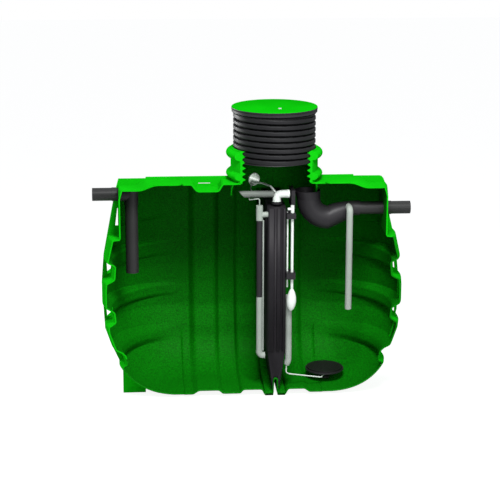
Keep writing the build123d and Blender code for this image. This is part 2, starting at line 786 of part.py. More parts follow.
def clamp(name, low, high):
    """Block on the partition's flank, round the airlift and its tubes."""
    with BuildPart() as block:
        with BuildSketch(level(low)):
            with Locations((POST_X[1], LIFT_Y + LIFT_R + WALL)):
                Rectangle(3 * LIFT_R, FLOAT_R + 4 * LIFT_R, align=(Align.MIN, Align.MAX))
        extrude(amount=high - low)
        add(rod(along(RIGHT_X, LIFT_Y, 0, (0, 0, 1)), LIFT_R + SEAT, POST_TOP), mode=Mode.SUBTRACT)
        add(rod(along(FLOAT_X, FLOAT_Y, 0, (0, 0, 1)), FLOAT_TUBE_R + SEAT, POST_TOP), mode=Mode.SUBTRACT)
        add(rod(along(THIN_X, THIN_Y, 0, (0, 0, 1)), THIN_R + SEAT, POST_TOP), mode=Mode.SUBTRACT)
    write(name, block)


clamp("clamp_low", *CLAMP)
clamp("clamp_high", *HIGH_CLAMP)

# Discharge elbow on the partition's top, with its collar and spout
elbow_route = ((ELBOW_X, ELBOW_Y, POST_TOP), (ELBOW_X, ELBOW_Y, ELBOW_Z), (ELBOW_END, ELBOW_Y, ELBOW_Z))
elbow_outside = bent(elbow_route, ELBOW_BEND, ELBOW_R, 0)
with BuildPart() as discharge_elbow:
    add(bent(elbow_route, ELBOW_BEND, ELBOW_R, ELBOW_WALL))
write("discharge_elbow", discharge_elbow)

with BuildPart() as elbow_collar:
    with BuildSketch(level(POST_TOP)):
        with Locations((ELBOW_X, ELBOW_Y)):
            Circle(COLLAR_R)
            Circle(ELBOW_R + SEAT, mode=Mode.SUBTRACT)
    extrude(amount=COLLAR_H)
write("elbow_collar", elbow_collar)

with BuildPart() as spout_pipe:
    add(tube(along(SPOUT_TIP - SPOUT_SLANT, ELBOW_Y, ELBOW_Z, (1, 0, 0)), SPOUT_R, ELBOW_WALL, ELBOW_X - SPOUT_TIP))
    add(elbow_outside, mode=Mode.SUBTRACT)
write("spout_pipe", spout_pipe)

# Disc diffuser on the right chamber's floor, its foot just clear of the rising bilge
DISC_REACH = math.hypot(DISC_X - END_X, DISC_Y) + DISC_FOOT_R - FLOOR_HALF
DISC_SEAT = FLOOR_Z + BILGE_R - math.sqrt((BILGE_R - WALL) ** 2 - DISC_REACH**2) + SEAT
stem = rod(along(DISC_X, DISC_Y, DISC_FOOT_TOP, (0, 0, 1)), STEM_R, DISC_TOP - DISC_RIM - DISC_FOOT_TOP)
with BuildPart() as diffuser_base:
    add(rod(along(DISC_X, DISC_Y, DISC_SEAT, (0, 0, 1)), DISC_FOOT_R, DISC_FOOT_TOP - DISC_SEAT))
    add(stem)
    add(rod(along(DISC_X, DISC_Y, DISC_TOP - DISC_RIM, (0, 0, 1)), DISC_R, DISC_RIM / 2))
write("diffuser_base", diffuser_base)

with BuildPart() as diffuser_membrane:
    with BuildSketch(level(DISC_TOP - DISC_RIM / 2)):
        with Locations((DISC_X, DISC_Y)):
            Circle(DISC_R - DISC_RIM / 2)
    extrude(amount=DISC_RIM / 2)
write("diffuser_membrane", diffuser_membrane)

STEM_Z = DISC_TOP - DISC_RIM - 2 * HOSE_R
with BuildPart() as diffuser_tube:
    add(bent(
        (
            (RIGHT_X, LIFT_Y, SOCKET_BOTTOM), (RIGHT_X, LIFT_Y, 160), (420, -110, 112),
            (600, -20, STEM_Z), (DISC_X, DISC_Y, STEM_Z),
        ),
        (30, 90, 60), HOSE_R, 0,
    ))
    add(stem, mode=Mode.SUBTRACT)
write("diffuser_tube", diffuser_tube)

# Duct, with the two air hoses that pass it
DUCT_START, DUCT_END = DUCT_REACH
with BuildPart() as duct_sleeve:
    add(tube(along(*in_duct(DUCT_START, 0, DUCT_Z), DUCT_WAY), PIPE_R, PIPE_WALL, DUCT_END - DUCT_START))
    add(seal(along(*in_duct(DUCT_START, 0, DUCT_Z), DUCT_WAY), DUCT_SEAL_END - DUCT_START))
write("duct_sleeve", duct_sleeve)

with BuildPart() as air_hose_wide:
    add(bent(
        (
            in_duct(DUCT_END - WALL, WIDE_HOSE_SIDE, WIDE_HOSE_Z),
            in_duct(NECK_BORE_R, WIDE_HOSE_SIDE, WIDE_HOSE_Z), (67, 230, 1789),
            (94, 100, 1813), (150, -60, 1822), (ELBOW_X, ELBOW_Y, ELBOW_Z),
        ),
        (60, 60, 60, 30), WIDE_HOSE_R, 0,
    ))
    add(elbow_outside, mode=Mode.SUBTRACT)
write("air_hose_wide", air_hose_wide)

with BuildPart() as air_hose_thin:
    add(bent(
        (
            in_duct(DUCT_END - WALL, THIN_HOSE_SIDE, THIN_HOSE_Z),
            in_duct(NECK_BORE_R, THIN_HOSE_SIDE, THIN_HOSE_Z), (0, 200, 1762),
            (-8, 60, 1762), (-36, -60, 1735), (-34, -140, 1722), (0, LIFT_Y, 1735),
            (LEFT_X, LIFT_Y, 1740), (LEFT_X, LIFT_Y, LEFT_TEE[1]),
        ),
        (60, 60, 40, 30, 20, 14, 14), THIN_HOSE_R, 0,
    ))
write("air_hose_thin", air_hose_thin)
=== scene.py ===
import math

import bmesh
import bpy
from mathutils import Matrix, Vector


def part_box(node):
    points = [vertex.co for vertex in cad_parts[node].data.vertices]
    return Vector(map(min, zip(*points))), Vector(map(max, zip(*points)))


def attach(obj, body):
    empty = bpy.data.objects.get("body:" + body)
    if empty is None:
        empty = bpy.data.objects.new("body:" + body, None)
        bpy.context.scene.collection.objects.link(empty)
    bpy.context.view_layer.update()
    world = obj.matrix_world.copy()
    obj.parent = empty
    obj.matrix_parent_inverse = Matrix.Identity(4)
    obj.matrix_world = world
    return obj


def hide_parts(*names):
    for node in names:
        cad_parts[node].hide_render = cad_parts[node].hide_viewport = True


# Sizes are in millimetres, in the tank's own frame: x along the tank, y back from its middle plane
MM = 0.001
WALL = 12
SEAT = 0.3

# Hull: its section across, its roof and where it is cut open
END_X = 600
FLOOR_Z = 20
FLOOR_HALF = 150
BILGE_R = 469
SIDE = ((612, 410), (670, 585), (693, 810), (693, 955), (672, 1220), (632, 1400), (575, 1757), (553, 1836))
EAVE_HALF = 406
RIDGE_HALF = 307
ROOF_Z = 1884
ROOF_BAND = 90
ROOF_SLOPE = 146 / 578
ROOF_SOFT = 24
CORNER_REACH = 34
CUT_Y = -214
# Cut faces below this height take the inside's painted shade
PAINTED_SHADE_CUT_Z = 380

# Hoops of the middle: place along the tank, sunk depth and lift of the floor
HOOP_REACH = 18
HOOP_STEP = 22
RIB = (0, 0)
RECESS = (60, 30)
JOINT = (60, 125)
BLADE = (0, -FLOOR_Z)
HOOPS = (
    (-END_X, *RIB), (-521, *RIB), (-474, *RECESS), (-301, *RECESS), (-266, *RIB), (-112, *RIB),
    (-88, *RECESS), (70, *RECESS), (96, *BLADE), (172, *BLADE), (179, *JOINT), (199, *JOINT),
    (206, *BLADE), (276, *BLADE), (302, *RECESS), (443, *RECESS), (485, *RIB), (END_X, *RIB),
)
BLADE_X = ((96, 172), (206, 276))
BLADE_HALF = 360
BLADE_TOP_FRONT = 34
BLADE_TOP_BACK = 74
BLADE_EDGE = 6

# Rounded ends: grooves between their ledges, the shoulder over the pad and the rows of the mesh
BANDS = ((266, 305, 398, 431), (640, 685, 770, 808), (1027, 1062, 1175, 1207))
BAND_DEPTH = 66
BAND_SHIFT = 80
BAND_SOFT = 16
BAND_MARGIN = 60
SHOULDER = (586, 1432)
SHOULDER_FADE = (0.05, 0.45)
PAD_X = 1134
PAD_Z = 1412
PAD_STEP = 2
PAD_CLEAR = 6
END_ROWS = (420, 1830, 9)
END_ARC_ROWS = 24
END_ROOF_REACH = 26
END_ROOF_STEP = 30
END_TURNS = 64

# Webs: outlines and holes as places along the tank and heights
WEB = 20
WEB_EDGE = 3
RIDGE_TOP = 1900
LEFT_WEB = (
    (-901, RIDGE_TOP), (-905, 1888), (-1133, 1888), (-1168, 1758), (-1270, 1236), (-1291, 988), (-1270, 579),
    (-1209, 410), (-1127, 226),
)
LEFT_WEB_LOW = 215
LEFT_HOLES = (
    ((-1252, 1178), (-1204, 1162), (-1204, 1074), (-1246, 1054)),
    ((-1263, 786), (-1204, 756), (-1204, 694), (-1254, 670)),
    ((-1141, 1640), (-1151, 1640), (-1172, 1482), (-1141, 1482)),
    ((-1158, 388), (-1134, 380), (-1100, 312), (-1116, 302)),
)
RIGHT_WEB = (
    (860, RIDGE_TOP), (864, 1888), (1088, 1887), (1106, 1881), (1119, 1866), (1128, 1842), (1134, 1800),
    (1156, 1669), (1181, 1528), (1219, 1371), (1248, 1200), (1270, 980), (1262, 700), (1200, 430),
)
RIGHT_WEB_LOW = 420
RIGHT_HOLES = (
    ((1214, 1158), (1232, 1158), (1240, 1064), (1216, 1064)),
    ((1226, 762), (1248, 762), (1244, 650), (1222, 650)),
)
RIDGE_SLOT = (-410, 1843, 110, 14)

# Neck, with its beads, its thread and the skirt behind the roof
NECK_X = 185
NECK_BORE_R = 356
NECK_CREST_R = 334
NECK_R = 370
NECK_BEAD = 39
NECK_BEADS = ((1932, 31), (2106, 37))
NECK_TOP = 2150
NECK_SKIRT_Z = 1728
NECK_SKIRT_START = -120
NECK_SKIRT_RUN = 160
NECK_SIDE = 4
NECK_TRIM = (660, 120, 130)
THREAD_PITCH = 49
TOOTH_SHARE = 0.34
TOOTH_ROUND = 0.9
TOOTH_FADE = 20

# Duct in the neck's back
DUCT_TURN = 25.3
DUCT_Z = 1804.5
DUCT_REACH = (340, 520)
DUCT_R = 55
DUCT_WALL = 4

# Riser and lid
RISER_R = 348.5
RISER_THREAD = 20
RISER_WALL = 9
RISER_FADE = 18
RISER_GROOVE = 0.27
# Upright faces in the thread's grooves, below the plain top stretch, are painted near-black as shade
RISER_STEEP = 0.98
RISER_PLAIN = 20
RIM_R = 361
RIM_WALL = 14
RIM_EDGE = 3
RIM_Z = (2453, 2489)
LID_SKIN = 6

# Fittings: paths and radii of the pipes
PARTITION_TOP = 1660
ELBOW_X = 198
ELBOW_Y = -120
ELBOW_FOOT = 1684
ELBOW_Z = 1767
ELBOW_END = 306
ELBOW_R = 33
ELBOW_SOCKET_R = 35.5
ELBOW_SOCKET = 23
ELBOW_BORE = 29
ELBOW_BEND = 46
SPOUT_X = (-99, -60, 172)
SPOUT_R = 28
SPOUT_BORE = 25
SPOUT_SLANT = 0.9
SPOUT_TIP = 9
AIRLIFT_Y = -175
AIRLIFT_Z = (893, 310, 272)
AIRLIFT_TURN = 14
AIRLIFT_BEND = 18
AIRLIFT_R = 28
AIRLIFT_FOOT = ((0, 27), (7, 21), (11, 10))
FLOAT_Z = 770
FLOAT_LENGTH = 204
FLOAT_R = 40
FLOAT_NECK_R = 9
FLOAT_TIP_R = 3
FLOAT_LEAN = 9
FLOAT_STEPS = 30
HOSE_R = 5.5
HOSE_BEND = 16
HOSE = ((286, -175, 270), (283, -170, 196), (307, -150, 174), (423, -90, 138), (606, -30, 93), (643, 60, 88),
        (656, 110, 100))
VENT_Z = 1630
VENT_BOTTOM = 748
VENT_R = 28
VENT_WALL = 3
VENT_SHIFT = -8
VENT_BEND = 34
BEND_STEPS = 12
SLITS_ACROSS = 19
SLIT_SIZE = (7, 1.2, 1)
SLIT_MARGIN = 20

# The camera, solved from the photograph
CAMERA_AIM = (-19.1, 0, 1249.9)
CAMERA_FAR = 13413
CAMERA_YAW = 4.166
CAMERA_PITCH = 14.52
CAMERA_ROLL = 0.105
CAMERA_FOCAL_PX = 1561.5
PHOTO_PX = 500
SENSOR = 36

# Studio, in metres: each lamp's name, place, size and power
LAMPS = (
    ("key", (0.3, -3.6, 5.5), 1.6, 330), ("side", (2.2, -5.2, 2.4), 3.0, 60),
    ("top", (0.3, 0.6, 6.0), 4.0, 60), ("back", (-3.2, 2.6, 2.2), 0.8, 130),
)
LAMP_AIM = 1000
FILL_SHADE = (0.9, 0.95, 1, 1)
FILL_STRENGTH = 0.42
FLOOR_SIZE = 60
FLOOR_SHADE = 0.6
FLOOR_GLOW = 0.9
FLOOR_PALE = 0.22

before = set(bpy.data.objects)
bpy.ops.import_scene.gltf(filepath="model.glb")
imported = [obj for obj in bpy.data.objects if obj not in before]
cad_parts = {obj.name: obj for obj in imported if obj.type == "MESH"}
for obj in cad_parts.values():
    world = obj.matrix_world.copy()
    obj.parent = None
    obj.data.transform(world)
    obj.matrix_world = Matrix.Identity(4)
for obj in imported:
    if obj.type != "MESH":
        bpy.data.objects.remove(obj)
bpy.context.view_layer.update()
inlet_low, inlet_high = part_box("inlet_pipe")
TANK_Y = (inlet_low.y + inlet_high.y) / 2 / MM


def at(x, y, z):
    """Point of the tank's own frame, in the model's metres."""
    return Vector((x * MM, (y + TANK_Y) * MM, z * MM))


def make_camera():
    """Camera at the photograph's place, with its lens and its slight roll."""
    yaw, pitch, roll = (math.radians(a) for a in (CAMERA_YAW, CAMERA_PITCH, CAMERA_ROLL))
    forward = Vector((math.sin(yaw) * math.cos(pitch), math.cos(yaw) * math.cos(pitch), -math.sin(pitch)))
    right = Vector((math.cos(yaw), -math.sin(yaw), 0))
    up = right.cross(forward)
    right_rolled = right * math.cos(roll) + up * math.sin(roll)
    up_rolled = right_rolled.cross(forward)
    data = bpy.data.cameras.new("photo_camera")
    data.sensor_width = SENSOR
    data.lens = CAMERA_FOCAL_PX / PHOTO_PX * SENSOR
    data.clip_end = 100
    camera = bpy.data.objects.new("photo_camera", data)
    bpy.context.scene.collection.objects.link(camera)
    rotation = camera.matrix_world.to_3x3()
    rotation.col[0] = right_rolled
    rotation.col[1] = up_rolled
    rotation.col[2] = -forward
    camera.matrix_world = rotation.to_4x4()
    camera.location = at(*CAMERA_AIM) - forward * CAMERA_FAR * MM
    bpy.context.scene.camera = camera


def node_material(name, colour, roughness, shine):
    """New material, its node tree and its shader."""
    material = bpy.data.materials.new(name)
    material.use_nodes = True
    shader = material.node_tree.nodes["Principled BSDF"]
    shader.inputs["Base Color"].default_value = (*colour, 1)
    shader.inputs["Roughness"].default_value = roughness
    shader.inputs["Specular IOR Level"].default_value = shine
    return material, material.node_tree, shader


def noise(tree, scale, detail=4.0):
    """Noise on the object's own coordinates."""
    where = tree.nodes.new("ShaderNodeTexCoord")
    pattern = tree.nodes.new("ShaderNodeTexNoise")
    pattern.inputs["Scale"].default_value = scale
    pattern.inputs["Detail"].default_value = detail
    tree.links.new(where.outputs["Object"], pattern.inputs["Vector"])
    return pattern.outputs["Fac"]


def ramp(tree, value, low, high, dark, light):
    """Colours between two values of a pattern."""
    shades = tree.nodes.new("ShaderNodeValToRGB")
    shades.color_ramp.elements[0].position = low
    shades.color_ramp.elements[1].position = high
    shades.color_ramp.elements[0].color = (*dark, 1)
    shades.color_ramp.elements[1].color = (*light, 1)
    tree.links.new(value, shades.inputs["Fac"])
    return shades.outputs["Color"]


def bump(tree, shader, value, strength, depth):
    """Fine relief from a pattern."""
    relief = tree.nodes.new("ShaderNodeBump")
    relief.inputs["Strength"].default_value = strength
    relief.inputs["Distance"].default_value = depth
    tree.links.new(value, relief.inputs["Height"])
    tree.links.new(relief.outputs["Normal"], shader.inputs["Normal"])


def plastic(name, dark, light, roughness, grain, depth=0.0006, shine=0.15):
    """Moulded plastic: a slow drift of shade over a fine grain."""
    material, tree, shader = node_material(name, light, roughness, shine)
    drift = noise(tree, 2.5)
    tree.links.new(ramp(tree, drift, 0.3, 0.7, dark, light), shader.inputs["Base Color"])
    bump(tree, shader, noise(tree, grain, 6), 0.35, depth)
    return material


def speckled_with_painted_slopes(name, dark, light, roughness, scale, depth):
    """Moulded wall in a dark green of painted shade, with the mottled grain that rotomoulding leaves, its
    upward slopes paler and its downward slopes darker: painted light and shade from the surface's normal.
    """
    material, tree, shader = node_material(name, dark, roughness, 0.03)
    grain = noise(tree, scale, 2)
    mottle = ramp(tree, grain, 0.36, 0.64, dark, light)
    # Painted light and shade: the colour is raised where the surface faces up and lowered where it faces down
    form = tree.nodes.new("ShaderNodeNewGeometry")
    split = tree.nodes.new("ShaderNodeSeparateXYZ")
    tree.links.new(form.outputs["Normal"], split.inputs["Vector"])
    slope = tree.nodes.new("ShaderNodeMapRange")
    slope.inputs["From Min"].default_value = -1
    slope.inputs["From Max"].default_value = 1
    tree.links.new(split.outputs["Z"], slope.inputs["Value"])
    shade = ramp(tree, slope.outputs["Result"], 0.44, 0.72, (0.78,) * 3, (1.25,) * 3)
    mottle_with_painted_light = tree.nodes.new("ShaderNodeMix")
    mottle_with_painted_light.data_type = "RGBA"
    mottle_with_painted_light.blend_type = "MULTIPLY"
    mottle_with_painted_light.inputs["Factor"].default_value = 1
    tree.links.new(mottle, mottle_with_painted_light.inputs["A"])
    tree.links.new(shade, mottle_with_painted_light.inputs["B"])
    tree.links.new(mottle_with_painted_light.outputs["Result"], shader.inputs["Base Color"])
    bump(tree, shader, grain, 0.4, depth)
    return material


MATERIALS = {
    "hull_outside": plastic("hull_outside", (0.004, 0.37, 0.004), (0.005, 0.43, 0.005), 0.6, 220, shine=0),
    "hull_cut": plastic("hull_cut", (0.004, 0.40, 0.004), (0.006, 0.46, 0.006), 0.6, 300, shine=0),
    # The inside is a far darker copy of the hull's green: painted shade of the hollow, over its mottled grain
    "hull_inside_painted_shading": speckled_with_painted_slopes("hull_inside_painted_shading", (0.002, 0.08, 0.002), (0.003, 0.20, 0.003), 0.55, 130, 0.002),
    # Darker copy of the cut green for the right end's cut faces below the pad: painted shade
    "right_cut_painted_shade": plastic("right_cut_painted_shade", (0.002, 0.16, 0.002), (0.003, 0.22, 0.003), 0.6, 220, shine=0.02),
    "lid_green": plastic("lid_green", (0.002, 0.30, 0.002), (0.003, 0.37, 0.003), 0.6, 160, shine=0),
    "riser_black": plastic("riser_black", (0.009, 0.009, 0.01), (0.016, 0.016, 0.017), 0.5, 260, shine=0.2),
    # Near-black copy of the riser's black for the thread's grooves and the membrane's slits: painted shade in
    # recesses
    "groove_painted_shade": plastic("groove_painted_shade", (0.001,) * 3, (0.003,) * 3, 0.6, 260, shine=0.05),
    "dark_grey": plastic("dark_grey", (0.015, 0.014, 0.016), (0.025, 0.023, 0.026), 0.45, 240, shine=0.25),
    "post_grey": plastic("post_grey", (0.010, 0.009, 0.011), (0.018, 0.016, 0.019), 0.5, 240),
    "ring_grey": plastic("ring_grey", (0.018, 0.018, 0.02), (0.03, 0.03, 0.033), 0.5, 240),
    "drain_grey": plastic("drain_grey", (0.018,) * 3, (0.028,) * 3, 0.4, 300, shine=0.25),
    "mid_grey": plastic("mid_grey", (0.12, 0.135, 0.12), (0.17, 0.19, 0.17), 0.45, 300),
    "light_grey": plastic("light_grey", (0.27, 0.31, 0.27), (0.38, 0.42, 0.38), 0.45, 300),
    "white": plastic("white", (0.66, 0.72, 0.66), (0.78, 0.83, 0.78), 0.4, 300),
    "membrane": plastic("membrane", (0.006,) * 3, (0.014,) * 3, 0.6, 400),
    "steel": plastic("steel", (0.4, 0.42, 0.42), (0.55, 0.57, 0.57), 0.3, 600),
}
NODE_FINISH = {
    "light_grey": (
        "airlift_left_lower", "airlift_left_foot", "airlift_left_tee", "left_air_tube", "air_hose_thin",
    ),
    "dark_grey": (
        "trap_bend", "trap_reducer", "trap_bracket", "clamp_low", "clamp_high", "elbow_collar",
        "airlift_left_upper", "diffuser_base",
    ),
    "drain_grey": ("inlet_pipe", "inlet_tee", "inlet_drop_pipe", "outlet_pipe"),
    "white": ("float_tube", "float_tee", "thin_tube", "air_hose_wide"),
    "membrane": ("diffuser_membrane",),
    "steel": ("lid_lock",),
    # The left foot takes the paler cut green: painted light that lifts its shade
    "hull_cut": ("left_foot",),
}


def finish_nodes():
    """Give each CAD node that stays in view its material."""
    for finish, names in NODE_FINISH.items():
        for name in names:
            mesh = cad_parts[name].data
            mesh.materials.clear()
            mesh.materials.append(MATERIALS[finish])


def new_piece(name, points, faces, kinds, finishes):
    """Mesh object from points and faces, each face of one kind of finish."""
    mesh = bpy.data.meshes.new(name)
    mesh.from_pydata(points, [], faces)
    for finish in finishes:
        mesh.materials.append(MATERIALS[finish])
    mesh.polygons.foreach_set("material_index", kinds)
    mesh.polygons.foreach_set("use_smooth", [True] * len(mesh.polygons))
    mesh.validate()
    piece = bpy.data.objects.new(name, mesh)
    bpy.context.scene.collection.objects.link(piece)
    return piece


def rounded(points, reach, steps=4, share=0.45):
    """Polyline with each corner turned into a curve, which takes no more than a share of a side."""
    made = [Vector(points[0])]
    for before, corner, after in zip(points, points[1:], points[2:]):
        before, corner, after = Vector(before), Vector(corner), Vector(after)
        back, on = before - corner, after - corner
        start = corner + back.normalized() * min(reach, back.length * share)
        end = corner + on.normalized() * min(reach, on.length * share)
        for i in range(steps + 1):
            t = i / steps
            made.append(start * (1 - t) ** 2 + corner * 2 * t * (1 - t) + end * t**2)
    made.append(Vector(points[-1]))
    return made


def bilge(inset, lift, start_r, stop_r, count=10):
    """Points of the arc between floor and side, from one distance outward to another."""
    rise = SIDE[0][1] - FLOOR_Z - lift
    run = SIDE[0][0] - inset - FLOOR_HALF
    radius = (rise**2 + run**2) / (2 * rise)
    start = math.asin((start_r - FLOOR_HALF) / radius)
    stop = math.asin(min(1, (stop_r - FLOOR_HALF) / radius))
    if stop_r - FLOOR_HALF >= run and rise > radius:
        stop = math.pi / 2 + math.asin((rise - radius) / radius)
    angles = [start + (stop - start) * i / count for i in range(count + 1)]
    return [(FLOOR_HALF + radius * math.sin(a), FLOOR_Z + lift + radius * (1 - math.cos(a))) for a in angles]


# Steps on each stretch of the first section, which every later one repeats
ROOF_COUNTS = {}


def hoop_profile(inset, lift):
    """Section across the tank from the cut at the floor, round the back, to the cut at the roof."""
    floor = FLOOR_Z + lift
    front = [(-r, z) for r, z in bilge(inset, lift, FLOOR_HALF, -CUT_Y, 3)][::-1]
    back = bilge(inset, lift, FLOOR_HALF, SIDE[0][0] - inset)
    side = [(r - inset, z - (inset if z == SIDE[-1][1] else 0)) for r, z in SIDE[1:]]
    roof = ROOF_Z - inset
    corners = [back[-1], *side, (EAVE_HALF, side[-1][1]), (RIDGE_HALF, roof)]
    upper = []
    line = rounded([back[-2], *corners, (0, roof), (CUT_Y, roof)], CORNER_REACH)[1:]
    for start, end in zip(line, line[1:]):
        count = max(1, round((end - start).length / 40)) if start.y > PAD_Z else 1
        count = ROOF_COUNTS.setdefault(len(upper), count)
        upper += [start.lerp(end, k / count) for k in range(count)]
    upper.append(line[-1])
    lowered = [Vector((p.x, soft_min(p.y, roof_under(p.x, inset) + ROOF_SOFT / 4, ROOF_SOFT))) for p in upper]
    return [Vector(p) for p in front + [(0, floor)] + back[:-1]] + lowered


def envelope(z):
    """Half width of the tank's ribs at a height."""
    if z <= SIDE[0][1]:
        return FLOOR_HALF + math.sqrt(BILGE_R**2 - (FLOOR_Z + BILGE_R - z) ** 2)
    for (r_low, z_low), (r_high, z_high) in zip(SIDE, SIDE[1:]):
        if z <= z_high:
            return r_low + (r_high - r_low) * (z - z_low) / (z_high - z_low)
    return SIDE[-1][0]


def soft_min(a, b, reach):
    """Smaller of two values, rounded where they meet."""
    near = max(reach - abs(a - b), 0) / reach
    return min(a, b) - near * near * reach / 4


def roof_under(y, inset=0):
    """Height of the roof, which falls towards the back."""
    return ROOF_Z - inset - ROOF_SLOPE * max(0, y)


def between(x, pairs):
    """Value at a place along pairs of place and value."""
    if x <= pairs[0][0]:
        return pairs[0][1]
    for (x_low, v_low), (x_high, v_high) in zip(pairs, pairs[1:]):
        if x <= x_high:
            return v_low + (v_high - v_low) * (x - x_low) / (x_high - x_low)
    return pairs[-1][1]


def end_rows():
    """Rows of a rounded end from the floor's centre up to the roof's: radius and height."""
    floor = [(FLOOR_HALF * k / 3, FLOOR_Z) for k in range(3)]
    arc = bilge(0, 0, FLOOR_HALF, SIDE[0][0], END_ARC_ROWS)
    outline = [(z, r) for r, z in (*SIDE[:6], SHOULDER, *SIDE[6:])]
    heights = [z for z in range(*END_ROWS) if abs(z - PAD_Z) > PAD_CLEAR]
    heights = sorted([*heights, PAD_Z - PAD_STEP, PAD_Z + PAD_STEP])
    side = [(between(z, outline), z) for z in heights]
    roof = rounded([SIDE[7], (EAVE_HALF, SIDE[7][1]), (RIDGE_HALF, ROOF_Z), (0, ROOF_Z)], END_ROOF_REACH)
    fine = [roof[0]]
    for start, end in zip(roof, roof[1:]):
        count = max(1, round((end - start).length / END_ROOF_STEP))
        fine += [start.lerp(end, (k + 1) / count) for k in range(count)]
    return [Vector(p) for p in floor + arc + side] + fine


def hull_radius(r, z, turn):
    """Radius of a rounded end at a height and an angle from its tip, with its grooves run out sideways."""
    if SIDE[5][1] < z < SIDE[6][1]:
        straight = envelope(z)
        share = max(0, min(1, (math.cos(turn) - SHOULDER_FADE[0]) / SHOULDER_FADE[1]))
        r = straight + (r - straight) * share * share * (3 - 2 * share)
    for low, inner_low, inner_high, high in BANDS:
        if low - BAND_MARGIN < z < high + BAND_MARGIN:
            middle = envelope(min(max(z, inner_low), inner_high)) + BAND_SHIFT - BAND_DEPTH
            rise_low = BAND_DEPTH * (inner_low - z) / (inner_low - low)
            rise_high = BAND_DEPTH * (z - inner_high) / (high - inner_high)
            reach = middle - soft_min(soft_min(0, -rise_low, BAND_SOFT), -rise_high, BAND_SOFT)
            across = BAND_SHIFT * math.sin(turn)
            groove = math.sqrt(reach * reach - across * across) - BAND_SHIFT * math.cos(turn)
            r = soft_min(r, groove, BAND_SOFT)
    return r


def grid_normals(grid):
    """Outward normal at each point of a grid, from its neighbours."""
    rows, cols = len(grid), len(grid[0])
    normals = []
    for i in range(rows):
        line = []
        for j in range(cols):
            along = grid[min(i + 1, rows - 1)][j] - grid[max(i - 1, 0)][j]
            across = grid[i][min(j + 1, cols - 1)] - grid[i][max(j - 1, 0)]
            normal = along.cross(across)
            line.append(normal.normalized() if normal.length > 1e-9 else None)
        normals.append(line)
    return normals


def wall_between(name, outer, inner, finishes):
    """Closed wall between two grids: outside, inside and cut faces; cut faces near the floor take the
    inside's darker green, painted shade, and with a fourth finish the cut faces below the pad take that one,
    also painted shade.
    """
    rows, cols = len(outer), len(outer[0])
    points = [at(*p) for line in outer for p in line] + [at(*p) for line in inner for p in line]
    shift = rows * cols
    faces, kinds = [], []

    def index(i, j, inside=False):
        return i * cols + j + (shift if inside else 0)

    for i in range(rows - 1):
        for j in range(cols - 1):
            quad = (index(i, j), index(i + 1, j), index(i + 1, j + 1), index(i, j + 1))
            faces.append(quad)
            kinds.append(0)
            faces.append(tuple(k + shift for k in quad[::-1]))
            kinds.append(1)
    border = [(i, 0) for i in range(rows)] + [(rows - 1, j) for j in range(1, cols)]
    border += [(i, cols - 1) for i in range(rows - 2, -1, -1)] + [(0, j) for j in range(cols - 2, -1, -1)]
    for a, b in zip(border, border[1:]):
        faces.append((index(*a), index(*b), index(*b, True), index(*a, True)))
        kinds.append(2)
    heights = [points[face[0]].z / MM for face in faces]
    # Cut faces near the floor take the inside's darker green: painted shade
    kinds = [1 if kind == 2 and z < PAINTED_SHADE_CUT_Z else kind for kind, z in zip(kinds, heights)]
    # On the right end, cut faces below the pad take a darker green: painted shade
    if len(finishes) > 3:
        kinds = [3 if kind == 2 and z < PAD_Z else kind for kind, z in zip(kinds, heights)]
    piece = new_piece(name, points, faces, kinds, finishes)
    tidy_mesh(piece)
    return piece


def tidy_mesh(piece):
    """Merge doubled points and turn every face outwards."""
    mesh = bmesh.new()
    mesh.from_mesh(piece.data)
    bmesh.ops.remove_doubles(mesh, verts=mesh.verts, dist=0.00005)
    bmesh.ops.dissolve_degenerate(mesh, edges=mesh.edges, dist=0.00005)
    bmesh.ops.recalc_face_normals(mesh, faces=mesh.faces)
    for edge in mesh.edges:
        if len({face.material_index for face in edge.link_faces}) > 1:
            edge.smooth = False
    mesh.to_mesh(piece.data)
    mesh.free()


def make_middle():
    """Hooped middle of the hull, with the neck's opening."""
    stations = []
    line = rounded(HOOPS, HOOP_REACH)
    for start, end in zip(line, line[1:]):
        count = max(1, round((end - start).length / HOOP_STEP))
        stations += [start.lerp(end, i / count) for i in range(count)]
    stations.append(Vector(HOOPS[-1]))
    outer = [[Vector((s.x, p.x, p.y)) for p in hoop_profile(s.y, s.z)] for s in stations]
    normals = grid_normals(outer)
    way = facing(outer, normals)
    inner = []
    for i, line in enumerate(outer):
        made = []
        for j, point in enumerate(line):
            moved = point - normals[i][j] * WALL * way
            moved.x = point.x if i in (0, len(outer) - 1) else moved.x
            moved.y = CUT_Y if j in (0, len(line) - 1) else moved.y
            made.append(moved)
        inner.append(made)
    # Its inside faces take the inside's painted shade
    middle = wall_between("hull_middle", outer, inner, ("hull_outside", "hull_inside_painted_shading", "hull_cut"))
    bore_out(middle)
    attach(middle, "root")
    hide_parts("left_bay_shell", "centre_bay_shell", "right_bay_shell")


def facing(outer, normals):
    """Plus one where the grid's normals point away from the tank's middle, minus one where they point in."""
    i, j = len(outer) // 2, len(outer[0]) // 2
    away = outer[i][j] - Vector((outer[i][j].x * 0.5, 0, ROOF_Z / 2))
    return 1 if normals[i][j].dot(away) > 0 else -1


def bore_out(piece):
    """Cut the neck's round opening out of the roof, and trim what hangs below the roof beside it."""
    bpy.ops.mesh.primitive_cylinder_add(
        vertices=128, radius=NECK_BORE_R * MM, depth=0.5, location=at(NECK_X, 0, ROOF_Z)
    )
    # The opening's cut faces take the inside's painted shade
    subtract(piece, bpy.context.object, "hull_inside_painted_shading")
    width, depth, height = NECK_TRIM
    centre = at(NECK_X, CUT_Y + 40, ROOF_Z - WALL - 1 - height / 2)
    bpy.ops.mesh.primitive_cube_add(size=1, location=centre)
    bpy.context.object.dimensions = (width * MM, depth * MM, height * MM)
    bpy.ops.object.transform_apply(location=False, rotation=False, scale=True)
    subtract(piece, bpy.context.object, "hull_cut")


